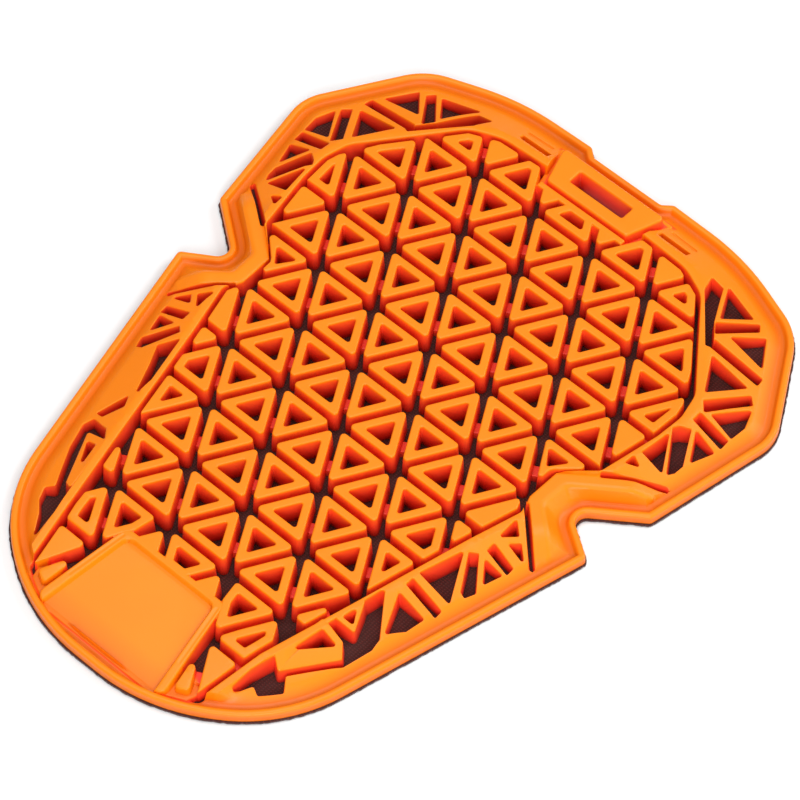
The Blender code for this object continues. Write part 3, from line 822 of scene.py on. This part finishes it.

# Painted light on the knit: loop tops are painted lighter and the hollows between them darker
DARK_YARN = (0.04, 0.009, 0.007, 1.0)
LIT_YARN = (0.12, 0.024, 0.016, 1.0)
knit = bpy.data.materials.new("dark_knit")
knit.use_nodes = True
tree = knit.node_tree
shader = tree.nodes["Principled BSDF"]
grain = wired(tree, "ShaderNodeGroup", {}, node_tree=speckled)
grain.inputs["Speckle Scale"].default_value = 4200.0
grain.inputs["Cloud Scale"].default_value = 120.0
place = wired(tree, "ShaderNodeTexCoord", {}).outputs["Object"]
wales, courses = (wired(tree, "ShaderNodeTexWave", {
    "Vector": place, "Scale": WAVE_PER_METRE / (LOOP_PITCH * share * MM), "Distortion": 0.8,
    "Detail": 1.0, "Detail Scale": 2.0}, bands_direction=direction).outputs["Fac"]
    for direction, share in (("X", 1.0), ("Y", 0.75)))
loops = wired(tree, "ShaderNodeMath", {0: wales, 1: courses}, operation="MULTIPLY").outputs[0]
fuzzy = wired(tree, "ShaderNodeMath", {
    0: grain.outputs["Speckle"], 1: 0.35, 2: loops}, operation="MULTIPLY_ADD").outputs[0]
# Lighter on the loop tops as painted light, varied at random by a broad cloud
lit_loops_and_cloud = wired(tree, "ShaderNodeMath", {
    0: fuzzy, 1: grain.outputs["Cloud"]}, operation="MULTIPLY").outputs[0]
yarn = wired(tree, "ShaderNodeMix", {0: lit_loops_and_cloud, 6: DARK_YARN, 7: LIT_YARN}, data_type="RGBA").outputs[2]
tree.links.new(yarn, shader.inputs["Base Color"])
dull = wired(tree, "ShaderNodeMapRange", {
    "Value": grain.outputs["Speckle"], "To Min": 0.72, "To Max": 0.98}).outputs["Result"]
tree.links.new(dull, shader.inputs["Roughness"])
bumps = wired(tree, "ShaderNodeBump", {"Height": fuzzy, "Distance": 0.00015, "Strength": 0.8})
tree.links.new(bumps.outputs["Normal"], shader.inputs["Normal"])
shader.inputs["Specular IOR Level"].default_value = 0.2
shader.inputs["Sheen Weight"].default_value = 0.25
cloth.materials.append(knit)
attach(backing, "root")
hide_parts("backing_fabric")
width, length = np.ptp(cut_edge, axis=0) * MM

# Table, light and camera.
# The pad lies on a plain pale table under one large soft light.
CAMERA_PLACE = (0.44979, -0.47595, 0.91582)
CAMERA_AIM = (0.006152, 0.004555, 0.0075)
CAMERA_LENS = 204.468
floor_mesh = bpy.data.meshes.new("table_top")
floor_mesh.from_pydata([(-3, -3, 0), (3, -3, 0), (3, 3, 0), (-3, 3, 0)], [], [(0, 1, 2, 3)])
floor = bpy.data.objects.new("table_top", floor_mesh)
bpy.context.scene.collection.objects.link(floor)
floor.location.z = -0.0002
pale = bpy.data.materials.new("pale_table")
pale.use_nodes = True
pale.node_tree.nodes["Principled BSDF"].inputs["Base Color"].default_value = (0.9, 0.9, 0.9, 1.0)
pale.node_tree.nodes["Principled BSDF"].inputs["Roughness"].default_value = 0.9
floor_mesh.materials.append(pale)
world = bpy.data.worlds.new("studio")
bpy.context.scene.world = world
world.use_nodes = True
world.node_tree.nodes["Background"].inputs["Color"].default_value = (1.0, 1.0, 1.0, 1.0)
world.node_tree.nodes["Background"].inputs["Strength"].default_value = 0.32
for name, place, size, power in (
    ("softbox_above", (-0.15, 0.1, 1.7), 1.0, 15.0),
    ("softbox_front", (0.8, -0.85, 0.62), 0.8, 13.0),
    ("softbox_behind", (0.62, 1.0, 0.95), 0.8, 9.0),
    ("softbox_side", (1.3, 0.6, 0.36), 0.5, 2.0),
):
    lamp = bpy.data.lights.new(name, "AREA")
    lamp.size = size
    lamp.energy = power
    holder = bpy.data.objects.new(name, lamp)
    holder.location = place
    holder.rotation_euler = (-Vector(place)).to_track_quat("-Z", "Y").to_euler()
    bpy.context.scene.collection.objects.link(holder)
lens = bpy.data.cameras.new("camera")
lens.lens = CAMERA_LENS
lens.sensor_width = 36.0
camera = bpy.data.objects.new("camera", lens)
camera.location = CAMERA_PLACE
camera.rotation_euler = (Vector(CAMERA_AIM) - Vector(CAMERA_PLACE)).to_track_quat("-Z", "Y").to_euler()
bpy.context.scene.collection.objects.link(camera)
bpy.context.scene.camera = camera
bpy.context.scene.view_settings.view_transform = "Standard"
